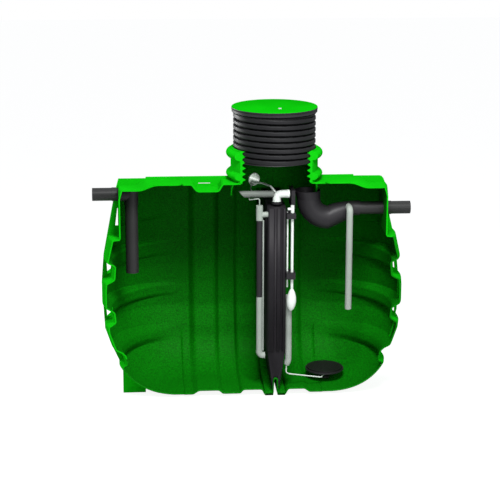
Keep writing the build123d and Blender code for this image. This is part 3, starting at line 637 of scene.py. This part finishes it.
def apply_modifiers(piece):
    """Turn a piece's modifiers into its mesh."""
    graph = bpy.context.evaluated_depsgraph_get()
    made = bpy.data.meshes.new_from_object(piece.evaluated_get(graph))
    piece.modifiers.clear()
    piece.data = made


def end_point(side, row, angle):
    """Point of a rounded end's outside, with its flat pad, at a row and an angle from its tip."""
    r = hull_radius(row.x, row.y, angle) if row.x > FLOOR_HALF else row.x
    y = r * math.sin(angle)
    x = END_X + r * math.cos(angle)
    if row.y > PAD_Z:
        x = min(x, PAD_X)
    z = soft_min(row.y, roof_under(y) + ROOF_SOFT / 4, ROOF_SOFT) if row.y > PAD_Z else row.y
    return Vector((side * x, y, z))


def make_end(side, node):
    """Rounded end of the hull, its ledges and its flat pad."""
    turns = END_TURNS
    outer = []
    for row in end_rows():
        stop = math.asin(min(1, -CUT_Y / row.x)) if row.x > 1 else math.pi / 2
        for _ in range(3):
            r = hull_radius(row.x, row.y, stop) if row.x > FLOOR_HALF else row.x
            stop = math.asin(min(1, -CUT_Y / r)) if r > 1 else math.pi / 2
        angles = [math.pi / 2 - (math.pi / 2 + stop) * k / turns for k in range(turns + 1)]
        outer.append([end_point(side, row, a) for a in angles])
    normals = grid_normals(outer)
    way = facing_end(outer, normals, side)
    inner = []
    for i, line in enumerate(outer):
        made = []
        for j, point in enumerate(line):
            normal = normals[i][j] or Vector((0, 0, -way if i == 0 else way))
            moved = point - normal * WALL * way
            moved.x = side * END_X if j == 0 or abs(point.x) <= END_X + 0.01 else moved.x
            moved.y = CUT_Y if j == turns and point.y < CUT_Y + 1 else moved.y
            made.append(moved)
        inner.append(made)
    # The right end's cut faces below the pad take a darker green: painted shade
    rim = ("right_cut_painted_shade",) if side > 0 else ()
    piece = wall_between(f"hull_{node}", outer, inner, ("hull_outside", "hull_inside_painted_shading", "hull_cut", *rim))
    pipe_hole(piece, side)
    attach(piece, "root")
    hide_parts(node)


def facing_end(outer, normals, side):
    """Plus one where a rounded end's normals point outwards."""
    i, j = len(outer) // 2, len(outer[0]) // 2
    away = outer[i][j] - Vector((side * END_X, 0, outer[i][j].z))
    return 1 if normals[i][j].dot(away) > 0 else -1


def pipe_hole(piece, side):
    """Cut the hole that the end's pipe passes through."""
    node = "inlet_pipe" if side < 0 else "outlet_pipe"
    low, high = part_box(node)
    centre = (low + high) / 2
    bpy.ops.mesh.primitive_cylinder_add(
        vertices=64, radius=(high.z - low.z) / 2 + SEAT * MM, depth=0.4,
        location=(side * PAD_X * MM, centre.y, centre.z), rotation=(0, math.pi / 2, 0),
    )
    subtract(piece, bpy.context.object)


def make_web(name, edge, holes):
    """Upright plate in the tank's middle plane, with rounded edges and its holes."""
    data = bpy.data.curves.new(name, "CURVE")
    data.dimensions = "2D"
    data.fill_mode = "BOTH"
    data.extrude = (WEB / 2 - WEB_EDGE) * MM
    data.bevel_depth = WEB_EDGE * MM
    data.bevel_resolution = 2
    for loop in (edge, *holes):
        line = data.splines.new("POLY")
        line.points.add(len(loop) - 1)
        for place, (x, z) in zip(line.points, loop):
            place.co = (x * MM, z * MM, 0, 1)
        line.use_cyclic_u = True
    flat = bpy.data.objects.new(name + "_outline", data)
    bpy.context.scene.collection.objects.link(flat)
    graph = bpy.context.evaluated_depsgraph_get()
    mesh = bpy.data.meshes.new_from_object(flat.evaluated_get(graph))
    bpy.data.objects.remove(flat)
    for vertex in mesh.vertices:
        x, z, y = vertex.co
        vertex.co = (x, -y + TANK_Y * MM, z)
    mesh.name = name
    mesh.materials.clear()
    mesh.materials.append(MATERIALS["hull_outside"])
    web = bpy.data.objects.new(name, mesh)
    bpy.context.scene.collection.objects.link(web)
    tidy_mesh(web)
    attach(web, "root")


def end_edge(side, bottom):
    """Outline of a rounded end in the middle plane, from a height up to the roof, half a wall deep."""
    line = [end_point(side, row, 0) for row in end_rows() if row.y > LEFT_WEB_LOW]
    skin = WALL / 2
    sunk = []
    for before, point, after in zip([line[0], *line], line, [*line[1:], line[-1]]):
        run = (after - before).normalized()
        down = skin if point.z > ROOF_Z - ROOF_BAND else 0
        sunk.append((point.x - side * abs(run.z) * skin, point.z - abs(run.x) * down))
    return [place for place in sunk if place[1] > bottom]


def slot_hole(x, z, width, height):
    """Rounded slot's outline."""
    half_w, half_h = width / 2, height / 2
    r = min(half_w, half_h)
    loop = []
    for k in range(24):
        angle = 2 * math.pi * k / 24
        loop.append((
            x + math.copysign(half_w - r, math.cos(angle)) + r * math.cos(angle),
            z + math.copysign(half_h - r, math.sin(angle)) + r * math.sin(angle),
        ))
    return loop


def make_webs():
    """Webs at both ends and along the roof's ridge."""
    under = ROOF_Z - WALL / 2
    sunk = under - RECESS[0]
    left = [*LEFT_WEB, *end_edge(-1, 0), (-END_X, under), (-END_X, RIDGE_TOP)]
    make_web("left_web", left, LEFT_HOLES)
    right = [*RIGHT_WEB, *end_edge(1, RIGHT_WEB_LOW), (END_X, under), (END_X, RIDGE_TOP)]
    make_web("right_web", right, RIGHT_HOLES)
    stop = NECK_X - NECK_R + NECK_SIDE
    make_web("ridge_web", [
        (-END_X, RIDGE_TOP), (-END_X, under), (-521, under), (-474, sunk), (-301, sunk), (-266, under),
        (stop, under), (stop, RIDGE_TOP),
    ], [slot_hole(*RIDGE_SLOT)])
    start = NECK_X + NECK_R - NECK_SIDE
    make_web("ridge_web_right", [(END_X, RIDGE_TOP), (END_X, under), (start, under), (start, RIDGE_TOP)], [])


def helix_wall(name, outside_r, inside_r, foot, high, back_angles, finishes, turns=120, levels=90):
    """Round wall whose two faces follow threads: each radius is a function of height and angle."""
    outer, inner = [], []
    for i in range(levels + 1):
        rings = []
        for radius in (outside_r, inside_r):
            ring = []
            for k in range(turns + 1):
                share = k / turns
                start, stop = back_angles(radius(high, share))
                angle = start + (stop - start) * share
                low = foot(radius(high, share), angle)
                z = low + (high - low) * i / levels
                r = radius(z, share)
                start, stop = back_angles(r)
                angle = start + (stop - start) * share
                ring.append(Vector((NECK_X + r * math.cos(angle), r * math.sin(angle), z)))
            rings.append(ring)
        outer.append(rings[0])
        inner.append(rings[1])
    return wall_between(name, outer, inner, finishes)


def thread(z, turn, root):
    """Radius of the riser's thread at a height: flat crests and narrow grooves."""
    share = (z / THREAD_PITCH + turn) % 1
    groove = max(0.0, 1 - abs(share - 0.5) / RISER_GROOVE)
    return RISER_R + (root - RISER_R) * (groove * groove * (3 - 2 * groove))


def make_riser():
    """Threaded riser, black, screwed down into the neck."""
    low, high = (corner.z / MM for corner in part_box("riser"))

    def outside(z, share):
        fade = max(0.05, min(1, (z - low) / RISER_FADE, (high - z) / RISER_FADE))
        return thread(z, share, RISER_R - RISER_THREAD * fade)

    def inside(z, share):
        return outside(z, share) - RISER_WALL

    riser = helix_wall(
        "riser_tube", outside, inside, lambda r, a: low, high, lambda r: (0, 2 * math.pi),
        ["riser_black"] * 3, levels=160,
    )
    # Faces in the grooves take a near-black copy of the riser's black: painted shade
    riser.data.materials.append(MATERIALS["groove_painted_shade"])
    axis = at(NECK_X, 0, 0)
    deep = RISER_R - RISER_THREAD
    for face in riser.data.polygons:
        reach = math.hypot(face.center.x - axis.x, face.center.y - axis.y) / MM
        upright = face.normal.z**2 < RISER_STEEP
        if upright and deep - 1 < reach < deep + RISER_THREAD / 2:
            face.material_index = 3 if face.center.z < (high - RISER_PLAIN) * MM else 0
    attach(riser, "root")
    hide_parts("riser")


def neck_outer_r(z):
    """Outer radius of the neck, with its two rounded beads."""
    r = NECK_R
    for centre, half in NECK_BEADS:
        off = abs(z - centre) / half
        if off < 1:
            r += NECK_BEAD * math.sqrt(1 - off * off)
    return r


def neck_foot(r, angle):
    """Height at which the neck meets the roof."""
    y = r * math.sin(angle)
    back = max(0, min(1, (y - NECK_SKIRT_START) / NECK_SKIRT_RUN))
    return roof_under(y) - WALL / 2 + (NECK_SKIRT_Z - roof_under(y)) * back


def make_neck():
    """Neck cut open by the plane, its beads outside, its thread inside and the duct's hole in its back."""

    def outside(z, share):
        return neck_outer_r(z)

    def inside(z, share):
        fade = max(0, min(1, (z - ROOF_Z) / TOOTH_FADE))
        return NECK_BORE_R + (NECK_CREST_R - NECK_BORE_R) * fade * tooth(z, share / 2)

    def behind(r):
        start = -math.asin(-CUT_Y / r)
        return start, math.pi - start

    # The neck's inside faces take the inside's painted shade
    finishes = ("hull_outside", "hull_inside_painted_shading", "hull_cut")
    neck = helix_wall("neck_tube", outside, inside, neck_foot, NECK_TOP, behind, finishes, levels=120)
    bpy.ops.mesh.primitive_cylinder_add(
        vertices=64, radius=(DUCT_R + SEAT) * MM, depth=0.3, location=at(*in_duct(NECK_R)),
        rotation=duct_way().to_track_quat("Z", "Y").to_euler(),
    )
    subtract(neck, bpy.context.object)
    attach(neck, "root")
    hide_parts("neck_collar")


def tooth(z, turn):
    """Share of a pointed tooth's height: one at its crest, none between teeth."""
    share = (z / THREAD_PITCH + turn) % 1
    return max(0.0, 1 - abs(share - 0.5) / TOOTH_SHARE) ** TOOTH_ROUND


def duct_way():
    """Direction of the duct, out of the neck's back."""
    turn = math.radians(DUCT_TURN)
    return Vector((-math.sin(turn), math.cos(turn), 0))


def in_duct(reach):
    """Point on the duct's axis at a distance from the neck's axis."""
    way = duct_way()
    return NECK_X + reach * way.x, reach * way.y, DUCT_Z


def make_duct():
    """Sleeve in the neck's back, which the air hoses pass through."""
    sleeve = sweep("duct_tube", [in_duct(reach) for reach in DUCT_REACH], [DUCT_R] * 2, DUCT_R - DUCT_WALL)
    dress(sleeve, "white", "drain_pipe", "duct_sleeve")


def subtract(piece, cutter, finish="hull_cut"):
    """Cut one mesh out of another, the cut faces in a finish of their own."""
    cutter.data.materials.append(MATERIALS[finish])
    cut = piece.modifiers.new("opening", "BOOLEAN")
    cut.object = cutter
    cut.operation = "DIFFERENCE"
    cut.solver = "MANIFOLD"
    apply_modifiers(piece)
    bpy.data.objects.remove(cutter)


def sweep(name, path, radii, bore=0, sides=40):
    """Round pipe along a path, its radius given at each point, with a bore or solid."""
    points = [Vector(p) for p in path]
    turned = Vector((0, 0, 1)) if abs((points[1] - points[0]).normalized().z) < 0.9 else Vector((0, 1, 0))
    rings, holes = [], []
    for i, point in enumerate(points):
        run = (points[min(i + 1, len(points) - 1)] - points[max(i - 1, 0)]).normalized()
        turned = (turned - run * turned.dot(run)).normalized()
        aside = run.cross(turned)
        around = [
            turned * math.cos(2 * math.pi * k / sides) + aside * math.sin(2 * math.pi * k / sides)
            for k in range(sides)
        ]
        rings.append([point + a * radii[i] for a in around])
        holes.append([point + a * bore for a in around])
    if bore:
        rings = rings + holes[::-1]
    verts = [at(*p) for ring in rings for p in ring]
    faces = []
    count = len(rings)
    for i in range(count if bore else count - 1):
        for k in range(sides):
            nxt = (i + 1) % count
            on = (k + 1) % sides
            faces.append((i * sides + k, i * sides + on, nxt * sides + on, nxt * sides + k))
    if not bore:
        faces.append(tuple(range(sides)))
        faces.append(tuple((count - 1) * sides + k for k in range(sides)))
    piece = new_piece(name, verts, faces, [0] * len(faces), ())
    tidy_mesh(piece)
    return piece


def dress(piece, finish, slot, *nodes):
    """Give a piece its material, and tie it to the nodes that it replaces; the slot is not used."""
    piece.data.materials.clear()
    piece.data.materials.append(MATERIALS[finish])
    piece.data.set_sharp_from_angle(angle=math.radians(40))
    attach(piece, "root")
    if nodes:
        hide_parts(*nodes)


def smooth_path(points, reach, steps=8):
    """Pipe's path with each corner turned into a bend."""
    return rounded(points, reach, steps, 0.48)


def box_middle(node):
    """Middle of a CAD node in the tank's own frame, along the tank and back."""
    low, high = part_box(node)
    return (low.x + high.x) / 2 / MM, (low.y + high.y) / 2 / MM - TANK_Y


def make_elbow():
    """Discharge elbow, with a socket at each end."""
    path = smooth_path([
        (ELBOW_X, ELBOW_Y, ELBOW_FOOT), (ELBOW_X, ELBOW_Y, ELBOW_Z), (ELBOW_END, ELBOW_Y, ELBOW_Z),
    ], ELBOW_BEND, BEND_STEPS)
    up, along = Vector((0, 0, 1)), Vector((1, 0, 0))
    radii = [ELBOW_SOCKET_R, ELBOW_SOCKET_R, *[ELBOW_R] * len(path), ELBOW_SOCKET_R, ELBOW_SOCKET_R]
    path = [
        path[0], path[0] + up * (ELBOW_SOCKET - 1), path[0] + up * ELBOW_SOCKET, *path[1:-1],
        path[-1] - along * (ELBOW_SOCKET + 1), path[-1] - along * ELBOW_SOCKET, path[-1],
    ]
    dress(sweep("elbow_tube", path, radii, ELBOW_BORE), "white", "white_pipe", "discharge_elbow")


def make_spout():
    """Spout pipe with its slanted end."""
    path = [(x, ELBOW_Y, ELBOW_Z) for x in SPOUT_X]
    spout = sweep("spout_tube", path, [SPOUT_R] * 3, SPOUT_BORE)
    for vertex in spout.data.vertices:
        if vertex.co.x < (SPOUT_X[0] + SPOUT_TIP) * MM:
            vertex.co.x -= (vertex.co.z - ELBOW_Z * MM) * SPOUT_SLANT
    dress(spout, "mid_grey", "light_grey", "spout_pipe")


def make_airlift():
    """Right airlift's lower pipe, with its rounded foot."""
    x = box_middle("airlift_right_pipe")[0]
    top, bend, foot = AIRLIFT_Z
    route = [(x, AIRLIFT_Y, top), (x, AIRLIFT_Y, bend), (x - AIRLIFT_TURN, AIRLIFT_Y, foot)]
    path = smooth_path(route, AIRLIFT_BEND)
    tail = path[-1]
    way = (path[-1] - path[-2]).normalized()
    ends = [r for _, r in AIRLIFT_FOOT]
    radii = [ends[0], *[AIRLIFT_R] * (len(path) - 2), *ends]
    path += [tail + way * reach for reach, _ in AIRLIFT_FOOT[1:]]
    tube = sweep("airlift_right_tube", path, radii)
    dress(tube, "light_grey", "light_grey", "airlift_right_pipe", "airlift_right_socket")


def make_float():
    """Pear-shaped float, leaning a little."""
    x, y = box_middle("float_bulb")
    shares = [k / FLOAT_STEPS for k in range(FLOAT_STEPS + 1)]
    radii = [FLOAT_R * max(0.02, math.sin(math.pi * share**0.85)) ** 0.6 for share in shares]
    radii = [FLOAT_TIP_R, *[max(r, FLOAT_NECK_R) for r in radii[1:-1]], FLOAT_NECK_R]
    path = [(x - FLOAT_LEAN * (1 - share) ** 2, y, FLOAT_Z + FLOAT_LENGTH * share) for share in shares]
    dress(sweep("float_body", path, radii), "white", "white_pipe", "float_bulb")


def make_hose():
    """Thin hose from the airlift's foot to the diffuser."""
    path = smooth_path(HOSE, HOSE_BEND)
    hose = sweep("diffuser_hose", path, [HOSE_R] * len(path), sides=16)
    dress(hose, "white", "light_grey", "diffuser_tube")


def make_vent():
    """Vent pipe, which bends down from the outlet's pipe."""
    x, y = box_middle("vent_pipe")
    x += VENT_SHIFT
    path = smooth_path([(x, 0, VENT_Z), (x, y, VENT_Z), (x, y, VENT_BOTTOM)], VENT_BEND, BEND_STEPS)
    vent = sweep("vent_tube", path, [VENT_R] * len(path), VENT_R - VENT_WALL)
    dress(vent, "light_grey", "light_grey", "vent_pipe", "vent_elbow")


def copy_node(node, name):
    """Piece made from a CAD node's mesh, its doubled points merged."""
    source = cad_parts[node]
    mesh = source.data.copy()
    mesh.name = name
    mesh.transform(source.matrix_world)
    piece = bpy.data.objects.new(name, mesh)
    bpy.context.scene.collection.objects.link(piece)
    tidy_mesh(piece)
    return piece


def make_partition():
    """Partition and its fluted front, their tops where the photograph has them."""
    for node, name in (("partition_wall", "partition_plate"), ("partition_flutes", "partition_ribs")):
        piece = copy_node(node, name)
        for vertex in piece.data.vertices:
            vertex.co.z = min(vertex.co.z, PARTITION_TOP * MM)
        dress(piece, "post_grey", "dark_grey", node)


def make_lid():
    """Lid with a green top over its dark rim."""
    lid = copy_node("lid", "lid_cover")
    lid.data.materials.clear()
    for finish in ("lid_green", "ring_grey"):
        lid.data.materials.append(MATERIALS[finish])
    top = max(vertex.co.z for vertex in lid.data.vertices)
    for face in lid.data.polygons:
        face.material_index = 0 if face.center.z > top - LID_SKIN * MM else 1
    lid.data.set_sharp_from_angle(angle=math.radians(35))
    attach(lid, "root")
    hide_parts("lid")
    low, high = RIM_Z
    path = [(NECK_X, 0, z) for z in (low, low + RIM_EDGE, high - RIM_EDGE, high)]
    rim = sweep("lid_rim", path, [RIM_R - RIM_EDGE, RIM_R, RIM_R, RIM_R - RIM_EDGE], RIM_R - RIM_WALL, 96)
    dress(rim, "ring_grey", "dark_ring", "riser_ring")


def make_blades():
    """Flat feet under the two blades of the module joint."""
    for name, (low, high) in zip(("blade_left", "blade_right"), BLADE_X):
        bpy.ops.mesh.primitive_cube_add(size=1)
        blade = bpy.context.object
        blade.name = name
        for vertex in blade.data.vertices:
            x = low + 1 if vertex.co.x < 0 else high - 1
            y, top = (CUT_Y, BLADE_TOP_FRONT) if vertex.co.y < 0 else (BLADE_HALF, BLADE_TOP_BACK)
            vertex.co = at(x, y, 0 if vertex.co.z < 0 else top)
        bevel = blade.modifiers.new("edge", "BEVEL")
        bevel.width = BLADE_EDGE * MM
        bevel.segments = 3
        apply_modifiers(blade)
        # The blades take the inside's darker green: painted shade, with painted light on their slopes
        blade.data.materials.append(MATERIALS["hull_inside_painted_shading"])
        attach(blade, "root")


def slit_rows(low, high):
    """Geometry Nodes group that lays slits out over the membrane, and its inputs' values."""
    group = bpy.data.node_groups.new("slit_rows", "GeometryNodeTree")
    values = {}
    for name, kind, value in (
        ("Slits across", "NodeSocketInt", SLITS_ACROSS),
        ("Slit length", "NodeSocketFloat", SLIT_SIZE[0] * MM),
        ("Slit width", "NodeSocketFloat", SLIT_SIZE[1] * MM),
        ("Disc radius", "NodeSocketFloat", (high.x - low.x) / 2 - SLIT_MARGIN * MM),
        ("Top", "NodeSocketFloat", high.z),
    ):
        socket = group.interface.new_socket(name, in_out="INPUT", socket_type=kind)
        values[socket.identifier] = value
    group.interface.new_socket("Geometry", in_out="OUTPUT", socket_type="NodeSocketGeometry")
    node = group.nodes.new
    given, made = node("NodeGroupInput").outputs, node("NodeGroupOutput").inputs
    width, reach, beyond = node("ShaderNodeMath"), node("ShaderNodeVectorMath"), node("ShaderNodeMath")
    grid, slit = node("GeometryNodeMeshGrid"), node("GeometryNodeMeshCube")
    size = node("ShaderNodeCombineXYZ")
    place, drop = node("GeometryNodeInputPosition"), node("GeometryNodeDeleteGeometry")
    spread, realize = node("GeometryNodeInstanceOnPoints"), node("GeometryNodeRealizeInstances")
    centre, move = node("ShaderNodeCombineXYZ"), node("GeometryNodeTransform")
    finish = node("GeometryNodeSetMaterial")
    width.operation = "MULTIPLY"
    width.inputs[1].default_value = 2
    reach.operation = "LENGTH"
    beyond.operation = "GREATER_THAN"
    size.inputs["Z"].default_value = SLIT_SIZE[2] * MM
    centre.inputs["X"].default_value = (low.x + high.x) / 2
    centre.inputs["Y"].default_value = (low.y + high.y) / 2
    # The slits take the near-black painted shade of an opening
    finish.inputs["Material"].default_value = MATERIALS["groove_painted_shade"]
    for start, end in (
        (given["Disc radius"], width.inputs[0]), (width.outputs[0], grid.inputs["Size X"]),
        (width.outputs[0], grid.inputs["Size Y"]), (given["Slits across"], grid.inputs["Vertices X"]),
        (given["Slits across"], grid.inputs["Vertices Y"]), (given["Slit length"], size.inputs["X"]),
        (given["Slit width"], size.inputs["Y"]), (size.outputs[0], slit.inputs["Size"]),
        (place.outputs[0], reach.inputs[0]), (reach.outputs["Value"], beyond.inputs[0]),
        (given["Disc radius"], beyond.inputs[1]), (grid.outputs["Mesh"], drop.inputs["Geometry"]),
        (beyond.outputs[0], drop.inputs["Selection"]), (drop.outputs[0], spread.inputs["Points"]),
        (slit.outputs["Mesh"], spread.inputs["Instance"]), (given["Top"], centre.inputs["Z"]),
        (spread.outputs[0], realize.inputs[0]), (realize.outputs[0], move.inputs["Geometry"]),
        (centre.outputs[0], move.inputs["Translation"]), (move.outputs[0], finish.inputs["Geometry"]),
        (finish.outputs[0], made["Geometry"]),
    ):
        group.links.new(start, end)
    return group, values


def make_slits():
    """Rows of slits in the diffuser's membrane, laid on it as near-black blocks of painted shade."""
    slits = bpy.data.objects.new("membrane_slits", bpy.data.meshes.new("membrane_slits"))
    bpy.context.scene.collection.objects.link(slits)
    layout = slits.modifiers.new("layout", "NODES")
    layout.node_group, values = slit_rows(*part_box("diffuser_membrane"))
    for identifier, value in values.items():
        layout[identifier] = value
    apply_modifiers(slits)
    slits.data.name = "membrane_slits"
    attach(slits, "root")


def make_studio():
    """White surroundings with soft light."""
    world = bpy.data.worlds.new("studio")
    bpy.context.scene.world = world
    world.use_nodes = True
    tree = world.node_tree
    tree.nodes.clear()
    light_path = tree.nodes.new("ShaderNodeLightPath")
    fill = tree.nodes.new("ShaderNodeBackground")
    fill.inputs["Color"].default_value = FILL_SHADE
    fill.inputs["Strength"].default_value = FILL_STRENGTH
    shown = tree.nodes.new("ShaderNodeBackground")
    shown.inputs["Color"].default_value = (1, 1, 1, 1)
    shown.inputs["Strength"].default_value = 1
    mix = tree.nodes.new("ShaderNodeMixShader")
    out = tree.nodes.new("ShaderNodeOutputWorld")
    tree.links.new(light_path.outputs["Is Camera Ray"], mix.inputs["Fac"])
    tree.links.new(fill.outputs["Background"], mix.inputs[1])
    tree.links.new(shown.outputs["Background"], mix.inputs[2])
    tree.links.new(mix.outputs["Shader"], out.inputs["Surface"])
    for name, place, size, energy in LAMPS:
        data = bpy.data.lights.new(name, "AREA")
        data.size = size
        data.energy = energy
        lamp = bpy.data.objects.new(name, data)
        bpy.context.scene.collection.objects.link(lamp)
        lamp.location = place
        aim = at(0, 0, LAMP_AIM) - lamp.location
        lamp.rotation_euler = aim.to_track_quat("-Z", "Y").to_euler()


def make_floor():
    """Floor that the camera sees as nearly white, with the object's shadow on it."""
    bpy.ops.mesh.primitive_plane_add(size=FLOOR_SIZE)
    floor = bpy.context.object
    floor.name = "floor"
    material = bpy.data.materials.new("floor_white")
    material.use_nodes = True
    tree = material.node_tree
    shader = tree.nodes["Principled BSDF"]
    shader.inputs["Base Color"].default_value = (*[FLOOR_SHADE] * 3, 1)
    shader.inputs["Roughness"].default_value = 0.9
    glow = tree.nodes.new("ShaderNodeEmission")
    glow.inputs["Strength"].default_value = FLOOR_GLOW
    pale = tree.nodes.new("ShaderNodeBsdfDiffuse")
    pale.inputs["Color"].default_value = (*[FLOOR_PALE] * 3, 1)
    seen = tree.nodes.new("ShaderNodeAddShader")
    mix = tree.nodes.new("ShaderNodeMixShader")
    path = tree.nodes.new("ShaderNodeLightPath")
    tree.links.new(glow.outputs["Emission"], seen.inputs[0])
    tree.links.new(pale.outputs["BSDF"], seen.inputs[1])
    tree.links.new(path.outputs["Is Camera Ray"], mix.inputs["Fac"])
    tree.links.new(shader.outputs["BSDF"], mix.inputs[1])
    tree.links.new(seen.outputs["Shader"], mix.inputs[2])
    tree.links.new(mix.outputs["Shader"], tree.nodes["Material Output"].inputs["Surface"])
    floor.data.materials.append(material)


make_camera()
make_studio()
make_floor()
finish_nodes()
make_middle()
make_end(-1, "left_end_shell")
make_end(1, "right_end_shell")
make_webs()
make_blades()
make_riser()
make_neck()
make_duct()
make_partition()
make_lid()
make_elbow()
make_spout()
make_airlift()
make_float()
make_hose()
make_vent()
make_slits()
bpy.context.scene.view_settings.view_transform = "Standard"
